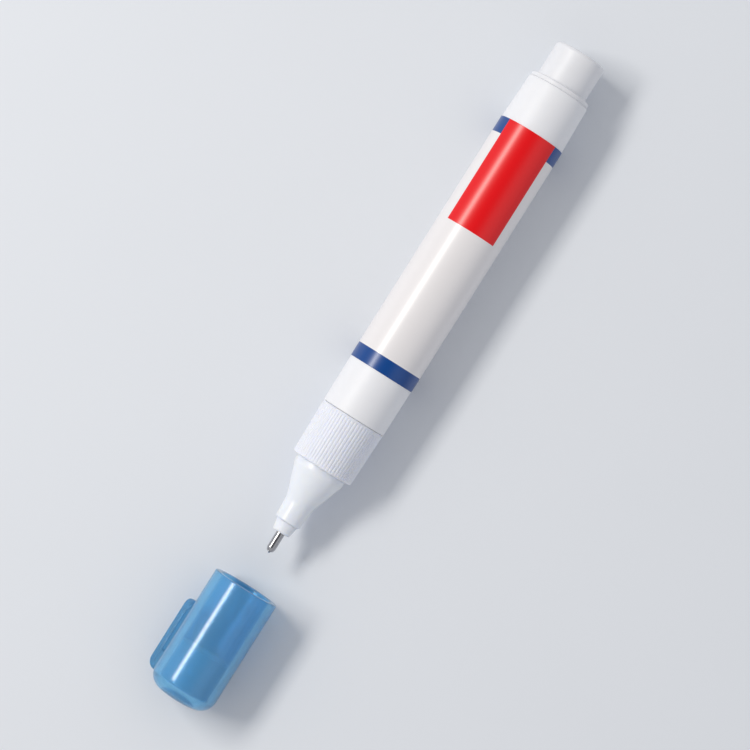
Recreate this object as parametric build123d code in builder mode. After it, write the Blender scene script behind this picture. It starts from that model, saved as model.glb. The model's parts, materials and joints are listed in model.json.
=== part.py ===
from build123d import *
from math import acos, atan2, cos, dist, hypot, sin, sqrt, tau
import os

os.makedirs("parts", exist_ok=True)

# A squeeze correction pen with a metal valve tip, lying on a table with its cap pulled straight off.
# The clip of the cap rests on the table beside the pen and keeps it from rolling.
# Millimetres. X runs along the pen from the tip to the tail, Z is up and the table is at z = 0.

# Barrel: a soft tube that holds the fluid, with a neck in front and an open tail
barrel_diameter = 13.8
barrel_wall = 0.9
barrel_bare_front = 10.2
barrel_bare_rear = 9.9
barrel_front_draft = 0.05
barrel_tail_draft = 0.3
barrel_tail_rounding = 0.35
barrel_seam_chamfer = 0.15
shoulder_thickness = 1.3
shoulder_cone = 0.8
neck_wall = 1.0
snap_bead_height = 0.18
snap_bead_width = 0.9
snap_bead_setback = 2.2

# Label: a printed film wrapped round the barrel
label_length = 55.3
label_thickness = 0.08
label_glue = 0.02

# Ribbed collar that snaps over the neck and clamps the nozzle
collar_length = 11.7
collar_wall = 0.63
collar_draft = 0.25
collar_rounding = 0.45
collar_seam_step = 0.05
collar_lip_thickness = 0.9
collar_lip_width = 0.5
rib_count = 60
rib_groove_depth = 0.14
rib_groove_width = 0.3
rib_plain_band = 0.4

# Nozzle: flange, land for the cap, cone, throat and a small stepped end
nozzle_length = 15.0
nozzle_land_length = 1.2
nozzle_land_rounding = 3.0
nozzle_throat_start = 6.9
nozzle_throat_rear_diameter = 5.9
nozzle_throat_front_diameter = 5.4
nozzle_throat_rounding = 6.0
nozzle_step_rounding = 0.35
nozzle_end_length = 2.4
nozzle_end_rear_diameter = 4.5
nozzle_end_front_diameter = 3.7
nozzle_end_rounding = 0.3
nozzle_flange_thickness = 1.3
nozzle_spigot_length = 4.6
nozzle_spigot_wall = 0.9
washer_thickness = 0.6

# Metal tip with the spring valve behind it
tip_length = 4.2
tip_diameter = 1.8
tip_bore = 1.24
tip_nose_length = 0.7
tip_nose_diameter = 1.3
tip_orifice = 0.86
tip_orifice_length = 0.3
tip_flange_diameter = 3.1
tip_flange_thickness = 0.6
chamber_diameter = 3.4
chamber_wall = 0.5
needle_diameter = 1.0
needle_nose_diameter = 0.66
needle_nose_reach = 0.4
needle_disc_diameter = 2.6
needle_disc_thickness = 0.7
needle_tail_reach = 1.0
spring_diameter = 2.72
spring_wire = 0.32
spring_pitch = 0.86
spring_turns = 5.5
retainer_length = 1.6
retainer_hole = 1.24
retainer_slot_count = 3
retainer_slot_width = 0.7
retainer_slot_depth = 0.5

# Tail plug that closes the barrel and lets the cap be posted
plug_flange_thickness = 0.9
plug_flange_rounding = 0.3
plug_flange_setback = 0.2
plug_spigot_length = 7.0
plug_wall = 1.2
plug_chamfer = 0.4
tail_length = 7.6
tail_rounding = 0.8

# Mixing ball that rattles in the barrel
ball_diameter = 6.0

# Cap with its pocket clip and its inner cap
cap_length = 26.0
cap_gap = 8.0
cap_end_wall = 1.5
cap_end_crown = 0.8
cap_end_rounding = 3.4
cap_lead_in = 0.4
cap_mouth_rounding = 0.3
cap_inner_chamfer = 1.5
clip_setback = 2.4
clip_length = 15.6
clip_width = 4.0
clip_thickness = 1.4
clip_gap = 1.1
clip_root_length = 4.0
clip_root_depth = 0.6
clip_root_rounding = 2.0
clip_throat_rounding = 0.5
clip_nub_height = 0.7
clip_nub_length = 2.8
clip_nub_rounding = 0.6
clip_tip_rounding = 1.5
clip_edge_rounding = 0.4
inner_cap_wall = 0.9
socket_wall = 0.8

# Clearances
press_clearance = 0.02
cap_clearance = 0.08
socket_clearance = 0.2
seat_gap = 0.2
valve_gap = 0.12
ball_clearance = 0.05

# Radii that follow from the barrel
barrel_radius = barrel_diameter / 2
bore_radius = barrel_radius - barrel_wall
label_inner_radius = barrel_radius + label_glue
label_radius = label_inner_radius + label_thickness
barrel_front_radius = barrel_radius - barrel_front_draft
barrel_tail_radius = barrel_radius - barrel_tail_draft
collar_rear_radius = barrel_front_radius - collar_seam_step
collar_front_radius = collar_rear_radius - collar_draft
collar_bore_radius = collar_front_radius - collar_wall
neck_radius = collar_bore_radius - press_clearance
neck_bore_radius = neck_radius - neck_wall
flange_radius = collar_bore_radius - press_clearance
lip_radius = collar_bore_radius - collar_lip_width
land_radius = lip_radius - press_clearance
tail_radius = land_radius
plug_flange_radius = barrel_tail_radius - plug_flange_setback
spigot_radius = neck_bore_radius - press_clearance
cap_radius = label_radius
cap_bore_radius = land_radius + cap_clearance
clip_root_radius = cap_radius - clip_root_depth
clip_inner_radius = cap_radius + clip_gap
clip_outer_radius = clip_inner_radius + clip_thickness
chamber_radius = chamber_diameter / 2
tip_radius = tip_diameter / 2
needle_radius = needle_diameter / 2

# Stations along the pen, counted from the seam between collar and barrel
label_front = barrel_bare_front
label_rear = label_front + label_length
barrel_rear = label_rear + barrel_bare_rear
plug_front = barrel_rear - plug_spigot_length
plug_flange_rear = barrel_rear + plug_flange_thickness
tail_end = plug_flange_rear + tail_length
collar_front = -collar_length
flange_front = collar_front + collar_lip_thickness
flange_rear = flange_front + nozzle_flange_thickness
neck_front = flange_rear + washer_thickness
spigot_rear = neck_front + nozzle_spigot_length
nozzle_front = collar_front - nozzle_length
nozzle_step = nozzle_front + nozzle_end_length
tip_front = nozzle_front - tip_length
chamber_front = nozzle_step + chamber_wall
tip_flange_rear = chamber_front + tip_flange_thickness
disc_front = tip_flange_rear + valve_gap
disc_rear = disc_front + needle_disc_thickness
spring_front = disc_rear + valve_gap
spring_rear = spring_front + spring_turns * spring_pitch + spring_wire
retainer_front = spring_rear + valve_gap
retainer_rear = retainer_front + retainer_length
needle_front = tip_front - needle_nose_reach
cap_mouth = needle_front - cap_gap
cap_end = cap_mouth - cap_length

# The cap is turned until the lower rounded edge of its clip touches the table, which the label lies on
clip_edge_out = clip_outer_radius - clip_edge_rounding
clip_edge_side = clip_width / 2 - clip_edge_rounding
clip_edge_reach = hypot(clip_edge_out, clip_edge_side)
clip_edge_lean = atan2(clip_edge_side, clip_edge_out)
clip_turn = clip_edge_lean + acos((label_radius - clip_edge_rounding) / clip_edge_reach)
clip_side = clip_edge_out * sin(clip_turn) + clip_edge_side * cos(clip_turn) + clip_edge_rounding

# The middle of the laid-out pen, with the clip beside it, lies at x = 0 and y = 0
seam_x = -(cap_end + tail_end) / 2
axis_y = (label_radius - max(label_radius, clip_side)) / 2
axis_z = label_radius
pen_origin = (seam_x, axis_y, axis_z)
pen_axis = Axis(pen_origin, (1, 0, 0))
profile_plane = Plane(pen_origin, x_dir=(1, 0, 0), z_dir=(0, -1, 0))
cross_plane = Plane(pen_origin, x_dir=(0, 1, 0), z_dir=(1, 0, 0))


def corner(profile, station, radius):
    """The corner of a profile that lies nearest to a station and a radius."""
    return min(profile.vertices(), key=lambda vertex: hypot(vertex.X - station, vertex.Y - radius))


# Barrel with its neck, snap bead, shoulder and drawn-in tail
bead_rear = -snap_bead_setback
bead_front = bead_rear - snap_bead_width
bead_middle = (bead_front + bead_rear) / 2
with BuildPart() as barrel:
    with BuildSketch(profile_plane) as barrel_profile:
        with BuildLine():
            Polyline(
                (bead_front, neck_radius),
                (neck_front, neck_radius),
                (neck_front, neck_bore_radius),
                (shoulder_thickness, neck_bore_radius),
                (shoulder_thickness + shoulder_cone, bore_radius),
                (barrel_rear, bore_radius),
                (barrel_rear, barrel_tail_radius),
                (label_rear, barrel_radius),
                (label_front, barrel_radius),
                (0, barrel_front_radius),
                (0, neck_radius),
                (bead_rear, neck_radius),
            )
            ThreePointArc(
                (bead_rear, neck_radius),
                (bead_middle, neck_radius + snap_bead_height),
                (bead_front, neck_radius),
            )
        make_face()
        chamfer(corner(barrel_profile, 0, barrel_front_radius), barrel_seam_chamfer)
        fillet(corner(barrel_profile, barrel_rear, barrel_tail_radius), barrel_tail_rounding)
    revolve(axis=pen_axis)

# Label film, a plain sleeve of printed film
with BuildPart() as label_sleeve:
    with BuildSketch(cross_plane.offset(label_front)):
        Circle(label_radius)
        Circle(label_inner_radius, mode=Mode.SUBTRACT)
    extrude(amount=label_length)

# Ribbed collar with its lip, snap groove and a ring of fine grooves along the tapered outside
collar_slope = (collar_rear_radius - collar_front_radius) / collar_length
rib_rear = -rib_plain_band
rib_rear_radius = collar_rear_radius - collar_slope * rib_plain_band
rib_length = (collar_length - rib_plain_band) * sqrt(1 + collar_slope**2)
rib_plane = Plane(
    (seam_x + rib_rear, axis_y, axis_z + rib_rear_radius), x_dir=(0, 1, 0), z_dir=(-1, 0, -collar_slope)
)
with BuildPart() as rib_groove:
    with BuildSketch(rib_plane):
        with BuildLine():
            Polyline(
                (-rib_groove_width, rib_groove_depth),
                (rib_groove_width, rib_groove_depth),
                (0, -rib_groove_depth),
                close=True,
            )
        make_face()
    extrude(amount=rib_length)

with BuildPart() as collar:
    with BuildSketch(profile_plane) as collar_profile:
        with BuildLine():
            Polyline(
                (bead_front, collar_bore_radius),
                (flange_front, collar_bore_radius),
                (flange_front, lip_radius),
                (collar_front, lip_radius),
                (collar_front, collar_front_radius),
                (-collar_seam_step, collar_rear_radius),
                (-collar_seam_step, collar_bore_radius),
                (bead_rear, collar_bore_radius),
            )
            ThreePointArc(
                (bead_rear, collar_bore_radius),
                (bead_middle, collar_bore_radius + snap_bead_height),
                (bead_front, collar_bore_radius),
            )
        make_face()
        fillet(corner(collar_profile, collar_front, collar_front_radius), collar_rounding)
    revolve(axis=pen_axis)
    grooves = [rib_groove.part.rotate(pen_axis, 360 * n / rib_count) for n in range(rib_count)]
    add(grooves, mode=Mode.SUBTRACT)

# Nozzle: spigot and flange inside, then the land, the cone, the throat and the stepped end
cavity_front = retainer_rear + valve_gap
spigot_bore_radius = spigot_radius - nozzle_spigot_wall
land_front = collar_front - nozzle_land_length
throat_rear = nozzle_front + nozzle_throat_start
with BuildPart() as nozzle:
    with BuildSketch(profile_plane) as nozzle_profile:
        with BuildLine():
            Polyline(
                (nozzle_front, tip_radius + press_clearance),
                (nozzle_front, nozzle_end_front_diameter / 2),
                (nozzle_step, nozzle_end_rear_diameter / 2),
                (nozzle_step, nozzle_throat_front_diameter / 2),
                (throat_rear, nozzle_throat_rear_diameter / 2),
                (land_front, land_radius),
                (flange_front, land_radius),
                (flange_front, flange_radius),
                (flange_rear, flange_radius),
                (flange_rear, spigot_radius),
                (spigot_rear, spigot_radius),
                (spigot_rear, spigot_bore_radius),
                (flange_front, spigot_bore_radius),
                (cavity_front, chamber_radius),
                (chamber_front, chamber_radius),
                (chamber_front, tip_radius + press_clearance),
                close=True,
            )
        make_face()
        fillet(corner(nozzle_profile, land_front, land_radius), nozzle_land_rounding)
        fillet(corner(nozzle_profile, throat_rear, nozzle_throat_rear_diameter / 2), nozzle_throat_rounding)
        fillet(corner(nozzle_profile, nozzle_step, nozzle_throat_front_diameter / 2), nozzle_step_rounding)
        fillet(corner(nozzle_profile, nozzle_front, nozzle_end_front_diameter / 2), nozzle_end_rounding)
    revolve(axis=pen_axis)

# Flat washer clamped between the nozzle's flange and the neck
with BuildPart() as neck_washer:
    with BuildSketch(cross_plane.offset(flange_rear)):
        Circle(neck_radius)
        Circle(neck_bore_radius, mode=Mode.SUBTRACT)
    extrude(amount=washer_thickness)

# Metal tip: a flanged tube with a necked nose round the orifice
with BuildPart() as tip_tube:
    with BuildSketch(profile_plane):
        with BuildLine():
            Polyline(
                (tip_front, tip_orifice / 2),
                (tip_front, tip_nose_diameter / 2),
                (tip_front + tip_nose_length, tip_radius),
                (chamber_front, tip_radius),
                (chamber_front, tip_flange_diameter / 2),
                (tip_flange_rear, tip_flange_diameter / 2),
                (tip_flange_rear, tip_bore / 2),
                (tip_front + tip_nose_length, tip_bore / 2),
                (tip_front + tip_orifice_length, tip_orifice / 2),
                close=True,
            )
        make_face()
    revolve(axis=pen_axis)

# Valve needle: a round nose that stands out of the orifice, a shaft, a disc for the spring and a tail
needle_nose_radius = needle_nose_diameter / 2
needle_neck = tip_front + tip_orifice_length + valve_gap
needle_shaft_front = tip_front + tip_nose_length + valve_gap
needle_rear = retainer_front + needle_tail_reach
with BuildPart() as valve_needle:
    with BuildSketch(profile_plane):
        with BuildLine():
            Polyline(
                (needle_front + needle_nose_radius, needle_nose_radius),
                (needle_neck, needle_nose_radius),
                (needle_shaft_front, needle_radius),
                (disc_front, needle_radius),
                (disc_front, needle_disc_diameter / 2),
                (disc_rear, needle_disc_diameter / 2),
                (disc_rear, needle_radius),
                (needle_rear, needle_radius),
                (needle_rear, 0),
                (needle_front, 0),
            )
            RadiusArc(
                (needle_front, 0),
                (needle_front + needle_nose_radius, needle_nose_radius),
                needle_nose_radius,
            )
        make_face()
    revolve(axis=pen_axis)

# Valve spring: an open coil on the needle's tail, between the disc and the retainer
coil_radius = (spring_diameter - spring_wire) / 2
coil_front = seam_x + spring_front + spring_wire / 2


def coil_point(turn):
    """A point on the spring's centre line after so many turns."""
    angle = tau * turn
    return Vector(
        coil_front + spring_pitch * turn,
        axis_y + coil_radius * cos(angle),
        axis_z + coil_radius * sin(angle),
    )


def coil_tangent(turn):
    """The direction of the spring's centre line after so many turns."""
    angle = tau * turn
    return Vector(
        spring_pitch / tau, -coil_radius * sin(angle), coil_radius * cos(angle)
    ).normalized()


def biarc_joint(start, start_way, end, end_way):
    """Where the two tangent arcs of a biarc meet, and the direction of the curve there."""
    chord = end - start
    ways = start_way + end_way
    across = 2 * (1 - start_way.dot(end_way))
    reach = chord.dot(ways)
    arm = (sqrt(reach**2 + across * chord.dot(chord)) - reach) / across
    first = start + start_way * arm
    second = end - end_way * arm
    return (first + second) * 0.5, (second - first).normalized()


quarters_per_turn = 4
quarter_count = round(spring_turns * quarters_per_turn)
with BuildPart() as valve_spring:
    with BuildLine() as coil:
        for quarter in range(quarter_count):
            turns = (quarter / quarters_per_turn, (quarter + 1) / quarters_per_turn)
            start, end = (coil_point(turn) for turn in turns)
            start_way, end_way = (coil_tangent(turn) for turn in turns)
            middle, middle_way = biarc_joint(start, start_way, end, end_way)
            TangentArc(start, middle, tangent=start_way)
            TangentArc(middle, end, tangent=middle_way)
    with BuildSketch(Plane(coil_point(0), z_dir=coil_tangent(0))):
        Circle(spring_wire / 2)
    sweep(path=coil.line)

samples_per_turn = 48
sampled_turns = [n / samples_per_turn for n in range(round(spring_turns * samples_per_turn) + 1)]
coil_gap = min(
    dist(tuple(coil_point(first)), tuple(coil_point(second))) - spring_wire
    for first in sampled_turns
    for second in sampled_turns
    if second - first > 1 / 2
)
print(f"valve_spring: least gap between turns {coil_gap:.2f} mm")

# Retainer pressed into the chamber: guides the needle's tail and lets the fluid past its slots
retainer_radius = chamber_radius - press_clearance
with BuildPart() as spring_retainer:
    with BuildSketch(cross_plane.offset(retainer_front)):
        Circle(retainer_radius)
        Circle(retainer_hole / 2, mode=Mode.SUBTRACT)
        with PolarLocations(retainer_radius, retainer_slot_count):
            Rectangle(2 * retainer_slot_depth, retainer_slot_width, mode=Mode.SUBTRACT)
    extrude(amount=retainer_length)

# Tail plug: a hollow spigot in the bore, a flange on the barrel's end and the post behind it
plug_radius = bore_radius - press_clearance
plug_hollow_radius = tail_radius - plug_wall
with BuildPart() as tail_plug:
    with BuildSketch(profile_plane) as plug_profile:
        with BuildLine():
            Polyline(
                (plug_front, plug_hollow_radius),
                (plug_front, plug_radius),
                (barrel_rear, plug_radius),
                (barrel_rear, plug_flange_radius),
                (plug_flange_rear, plug_flange_radius),
                (plug_flange_rear, tail_radius),
                (tail_end, tail_radius),
                (tail_end, 0),
                (tail_end - plug_wall, 0),
                (tail_end - plug_wall, plug_hollow_radius),
                close=True,
            )
        make_face()
        chamfer(corner(plug_profile, plug_front, plug_radius), plug_chamfer)
        fillet(corner(plug_profile, plug_flange_rear, plug_flange_radius), plug_flange_rounding)
        fillet(corner(plug_profile, tail_end, tail_radius), tail_rounding)
    revolve(axis=pen_axis)

# Mixing ball, lying on the lower wall of the bore halfway along the free length
ball_radius = ball_diameter / 2
ball_drop = bore_radius - ball_radius - ball_clearance
ball_station = (shoulder_thickness + shoulder_cone + plug_front) / 2
with BuildPart() as mixing_ball:
    with Locations((seam_x + ball_station, axis_y, axis_z - ball_drop)):
        Sphere(ball_radius)

# Pocket clip: a strap that starts from a root on the cap's wall and ends in a nub that faces the wall
clip_start = cap_end + clip_setback
clip_root_end = clip_start + clip_root_length
clip_tip = clip_start + clip_length
clip_nub = clip_tip - clip_nub_length / 2
clip_plane = Plane(pen_origin, x_dir=(1, 0, 0), z_dir=(0, cos(clip_turn), sin(clip_turn)))
clip_axis = Axis(pen_origin, clip_plane.y_dir)
with BuildPart() as clip:
    with BuildSketch(clip_plane) as clip_profile:
        with BuildLine():
            Polyline(
                (clip_start, clip_root_radius),
                (clip_start, clip_outer_radius),
                (clip_tip, clip_outer_radius),
                (clip_tip, clip_inner_radius),
                (clip_nub, clip_inner_radius - clip_nub_height),
                (clip_tip - clip_nub_length, clip_inner_radius),
                (clip_root_end, clip_inner_radius),
                (clip_root_end, clip_root_radius),
                close=True,
            )
        make_face()
        fillet(corner(clip_profile, clip_start, clip_outer_radius), clip_root_rounding)
        fillet(corner(clip_profile, clip_root_end, clip_inner_radius), clip_throat_rounding)
        fillet(corner(clip_profile, clip_nub, clip_inner_radius - clip_nub_height), clip_nub_rounding)
    extrude(amount=clip_width / 2, both=True)
    fillet(clip.edges().filter_by(clip_axis).group_by(Axis.X)[-1], clip_tip_rounding)
    fillet(clip.edges().filter_by(Axis.X).group_by(clip_axis)[-1], clip_edge_rounding)

# Cap: a cup with a crowned end, whose mouth grips the nozzle's land, moulded in one with its clip
cap_inner_end = cap_end + cap_end_wall
with BuildPart() as cap:
    with BuildSketch(profile_plane) as cap_profile:
        with BuildLine():
            Polyline(
                (cap_end, 0),
                (cap_inner_end, 0),
                (cap_inner_end, cap_bore_radius - cap_inner_chamfer),
                (cap_inner_end + cap_inner_chamfer, cap_bore_radius),
                (cap_mouth, cap_bore_radius),
                (cap_mouth, cap_radius),
                (cap_end + cap_end_crown, cap_radius),
            )
            TangentArc((cap_end, 0), (cap_end + cap_end_crown, cap_radius), tangent=(0, 1))
        make_face()
        fillet(corner(cap_profile, cap_end + cap_end_crown, cap_radius), cap_end_rounding)
        fillet(corner(cap_profile, cap_mouth, cap_radius), cap_mouth_rounding)
        chamfer(corner(cap_profile, cap_mouth, cap_bore_radius), cap_lead_in)
    revolve(axis=pen_axis)
    add(clip.part)

# Inner cap: a skirted disc in the end of the cap, with a socket that shuts the metal tip
cap_travel = collar_front - seat_gap - cap_mouth
seated_nozzle_front = nozzle_front - cap_travel
seated_needle_front = needle_front - cap_travel
inner_cap_front = seated_nozzle_front - seat_gap
inner_cap_rear = cap_inner_end + cap_inner_chamfer
socket_end = seated_needle_front - socket_clearance
socket_radius = tip_radius + socket_clearance
inner_cap_radius = cap_bore_radius - press_clearance
with BuildPart() as inner_cap:
    with BuildSketch(profile_plane):
        with BuildLine():
            Polyline(
                (inner_cap_front, socket_radius),
                (inner_cap_front, inner_cap_radius),
                (inner_cap_rear, inner_cap_radius),
                (inner_cap_rear, inner_cap_radius - inner_cap_wall),
                (inner_cap_front - inner_cap_wall, inner_cap_radius - inner_cap_wall),
                (inner_cap_front - inner_cap_wall, socket_radius + socket_wall),
                (socket_end - socket_wall, socket_radius + socket_wall),
                (socket_end - socket_wall, 0),
                (socket_end, 0),
                (socket_end, socket_radius),
                close=True,
            )
        make_face()
    revolve(axis=pen_axis)

pieces = {
    "barrel": barrel,
    "label_sleeve": label_sleeve,
    "collar": collar,
    "nozzle": nozzle,
    "neck_washer": neck_washer,
    "tip_tube": tip_tube,
    "valve_needle": valve_needle,
    "valve_spring": valve_spring,
    "spring_retainer": spring_retainer,
    "tail_plug": tail_plug,
    "mixing_ball": mixing_ball,
    "cap": cap,
    "inner_cap": inner_cap,
}
for piece_name, piece in pieces.items():
    piece.part.label = piece_name
    export_step(piece.part, f"parts/{piece_name}.step")
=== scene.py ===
"""A squeeze correction pen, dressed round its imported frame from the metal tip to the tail."""

import json
from math import acos, atan2, ceil, cos, hypot, pi, radians, sin, sqrt, tan, tau

import bmesh
import bpy
from bpy.props import FloatProperty, FloatVectorProperty, IntProperty, PointerProperty
from bpy.types import Operator, Panel, PropertyGroup
from mathutils import Matrix, Vector

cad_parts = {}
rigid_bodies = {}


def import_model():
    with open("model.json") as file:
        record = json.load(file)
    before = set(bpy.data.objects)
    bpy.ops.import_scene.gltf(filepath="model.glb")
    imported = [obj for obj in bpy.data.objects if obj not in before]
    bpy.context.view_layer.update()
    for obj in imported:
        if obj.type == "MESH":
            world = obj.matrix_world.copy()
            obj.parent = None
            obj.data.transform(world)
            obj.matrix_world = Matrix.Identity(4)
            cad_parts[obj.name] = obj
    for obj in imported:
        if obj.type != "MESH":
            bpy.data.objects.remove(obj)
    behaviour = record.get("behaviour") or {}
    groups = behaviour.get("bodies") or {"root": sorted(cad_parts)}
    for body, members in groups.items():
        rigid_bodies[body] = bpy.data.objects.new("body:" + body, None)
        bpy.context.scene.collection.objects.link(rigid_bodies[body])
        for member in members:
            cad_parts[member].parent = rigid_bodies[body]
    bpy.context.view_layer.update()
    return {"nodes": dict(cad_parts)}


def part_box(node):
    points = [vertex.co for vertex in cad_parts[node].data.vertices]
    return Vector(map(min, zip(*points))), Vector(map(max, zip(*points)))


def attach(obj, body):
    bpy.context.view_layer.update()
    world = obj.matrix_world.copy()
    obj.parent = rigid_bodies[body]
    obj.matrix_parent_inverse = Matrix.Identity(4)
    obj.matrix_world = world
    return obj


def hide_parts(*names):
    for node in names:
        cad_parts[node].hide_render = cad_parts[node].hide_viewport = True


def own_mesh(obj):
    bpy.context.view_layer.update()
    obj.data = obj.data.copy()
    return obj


bl_info = {
    "name": "Correction pen",
    "version": (1, 0, 0),
    "blender": (4, 5, 0),
    "location": "3D View > Sidebar > Correction pen",
    "description": "Builds a squeeze correction pen with a printed barrel, a metal tip and a clip cap",
    "category": "Object",
}

for starter in list(bpy.data.objects):
    bpy.data.objects.remove(starter)
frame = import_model()

MM = 0.001

# Places that the frame gives: the pen's axis and the ends of its pieces, in metres
LABEL_LOW, LABEL_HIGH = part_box("label_sleeve")
BARREL_LOW, BARREL_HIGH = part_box("barrel")
COLLAR_LOW, COLLAR_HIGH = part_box("collar")
NOZZLE_LOW, NOZZLE_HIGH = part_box("nozzle")
TIP_LOW, TIP_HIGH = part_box("tip_tube")
NEEDLE_LOW, NEEDLE_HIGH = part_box("valve_needle")
PLUG_LOW, PLUG_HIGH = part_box("tail_plug")
CAP_LOW, CAP_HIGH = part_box("cap")
INNER_LOW, INNER_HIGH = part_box("inner_cap")
SPRING_LOW, SPRING_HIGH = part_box("valve_spring")
AXIS_Y = (LABEL_LOW.y + LABEL_HIGH.y) / 2
AXIS_Z = (LABEL_LOW.z + LABEL_HIGH.z) / 2
LABEL_RADIUS = (LABEL_HIGH.z - LABEL_LOW.z) / 2
LABEL_LENGTH = LABEL_HIGH.x - LABEL_LOW.x

# How finely a turned piece and an arc are drawn, and how close to an arc a point holds the flat beside it
TURN_SEGMENTS = 160
ARC_STEP = radians(9)
ARC_STEPS_LEAST = 5
HOLD_SHARE = 0.12

# Steps of half a groove, of the cap's end and wall, and of the clip's bends, strap, nub and edges
GROOVE_STEPS = 4
CROWN_STEPS = 6
WALL_STEPS = 16
BEND_STEPS = 12
STRAP_STEPS = 4
NUB_STEPS = 20
EDGE_STEPS = 5

# The bend past which an edge is shaded sharp, and distances at which points count as one
SHARP_ANGLE = radians(38)
NEAR = 1e-7
WELD = 2e-7
RING_WELD = 1e-6

# Sockets of a Mix node that mixes colours: its share, its two colours and its result
MIX_SHARE, MIX_FIRST, MIX_SECOND, MIX_RESULT = 0, 6, 7, 2

# Radians that a Wave texture turns through in each unit of length at a scale of 1
WAVE_RATE = 20

# Heights in the sky where its tones stand, from 0 at the rim to 1 straight above
SKY_TOP_FROM, SKY_TOP_TO, SKY_HOLE = 0.55, 0.82, 0.97


def linear(hex_code):
    """An sRGB hex value as linear red, green, blue and alpha."""
    tones = [int(hex_code[place : place + 2], 16) / 255 for place in (0, 2, 4)]
    return (*(tone / 12.92 if tone <= 0.04045 else ((tone + 0.055) / 1.055) ** 2.4 for tone in tones), 1.0)


def size(name, description, millimetres):
    """A length that a user may change, given in millimetres."""
    return FloatProperty(
        name=name, description=description, default=millimetres * MM, min=0, unit="LENGTH", precision=6
    )


def angle(name, description, degrees):
    """An angle that a user may change, given in degrees."""
    return FloatProperty(name=name, description=description, default=radians(degrees), unit="ROTATION")


def tint(name, description, hex_code):
    """A colour that a user may change, given as an sRGB hex value."""
    return FloatVectorProperty(
        name=name, description=description, default=linear(hex_code), min=0, max=1, size=4, subtype="COLOR"
    )


class BarrelSettings(PropertyGroup):
    """Sizes and colours of the squeeze barrel and its tail plug."""

    radius: size("Radius", "Outer radius of the barrel under the film", 6.9)
    front_radius: size("Front radius", "Outer radius at the seam with the collar", 6.85)
    tail_radius: size("Tail radius", "Outer radius where the barrel is drawn in at its tail", 6.6)
    bore_radius: size("Bore radius", "Inner radius of the barrel", 6.0)
    neck_radius: size("Neck radius", "Outer radius of the neck inside the collar", 5.89)
    neck_bore_radius: size("Neck bore radius", "Inner radius of the neck", 4.9)
    shoulder: size("Shoulder", "Thickness of the shoulder behind the seam", 1.3)
    shoulder_cone: size("Shoulder cone", "Length of the slope from neck bore to barrel bore", 0.8)
    seam_gap: size("Seam gap", "Open line between collar and barrel", 0.05)
    seam_rounding: size("Seam rounding", "Rounding of the barrel's edge at the seam", 0.16)
    tail_rounding: size("Tail rounding", "Rounding of the barrel's edge at the tail", 0.35)
    flange_radius: size("Plug flange radius", "Radius of the plug's flange behind the barrel", 6.4)
    flange_thickness: size("Plug flange thickness", "Thickness of the plug's flange", 0.9)
    post_radius: size("Post radius", "Radius of the post that takes the cap at the tail", 5.4)
    post_rounding: size("Post rounding", "Rounding of the post's end", 0.8)
    plug_radius: size("Plug radius", "Radius of the plug inside the bore", 5.97)
    plug_wall: size("Plug wall", "Wall thickness of the hollow plug", 1.2)
    white: tint("Barrel white", "Opaque cool white of the barrel", "EEEFF3")
    plug_white: tint("Plug white", "Opaque cool white of the plug", "E9EAEE")


class LabelSettings(PropertyGroup):
    """Thickness, print layout and inks of the film round the barrel."""

    thickness: size("Film thickness", "Thickness of the film", 0.075)
    edge_rounding: size("Edge rounding", "Rounding of the film's cut edges", 0.03)
    band_length: size("Front band", "Length of the blue band at the film's front edge", 3.1)
    ring_length: size("Rear ring", "Length of the blue ring at the film's rear edge", 3.4)
    panel_length: size("Panel length", "Length of the red panel, counted from the rear edge", 22.8)
    panel_reach: angle("Panel reach", "Half the angle that the red panel covers", 48)
    film_white: tint("Film white", "Neutral white of the film", "ECE9EA")
    ink_red: tint("Red ink", "Red of the panel", "EC0E15")
    ink_blue: tint("Blue ink", "Blue of the band and the ring", "0D478F")


class CollarSettings(PropertyGroup):
    """Sizes, ribs and colour of the collar between barrel and nozzle."""

    rear_radius: size("Rear radius", "Outer radius at the seam", 6.8)
    front_radius: size("Front radius", "Outer radius at the front edge", 6.55)
    bore_radius: size("Bore radius", "Inner radius round the neck", 5.92)
    lip_radius: size("Lip radius", "Inner radius of the lip in front", 5.42)
    lip_thickness: size("Lip thickness", "Thickness of the lip in front", 0.9)
    lip_rounding: size("Lip rounding", "Rounding of the lip's inner edge", 0.1)
    front_rounding: size("Front rounding", "Rounding of the front edge", 0.45)
    rear_rounding: size("Rear rounding", "Rounding of the edge at the seam", 0.12)
    plain_band: size("Plain band", "Smooth band between the ribs and the seam", 0.4)
    groove_depth: size("Groove depth", "Depth of the grooves between the ribs", 0.1)
    groove_width: size("Groove width", "Width of a groove at the surface", 0.34)
    groove_fade: size("Groove fade", "Length over which a groove runs out at its rear", 0.2)
    rib_count: IntProperty(name="Ribs", description="Number of ribs", default=60, min=12, max=180)
    natural: tint("Collar tone", "Milky tone of the collar", "E8EBF5")


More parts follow.
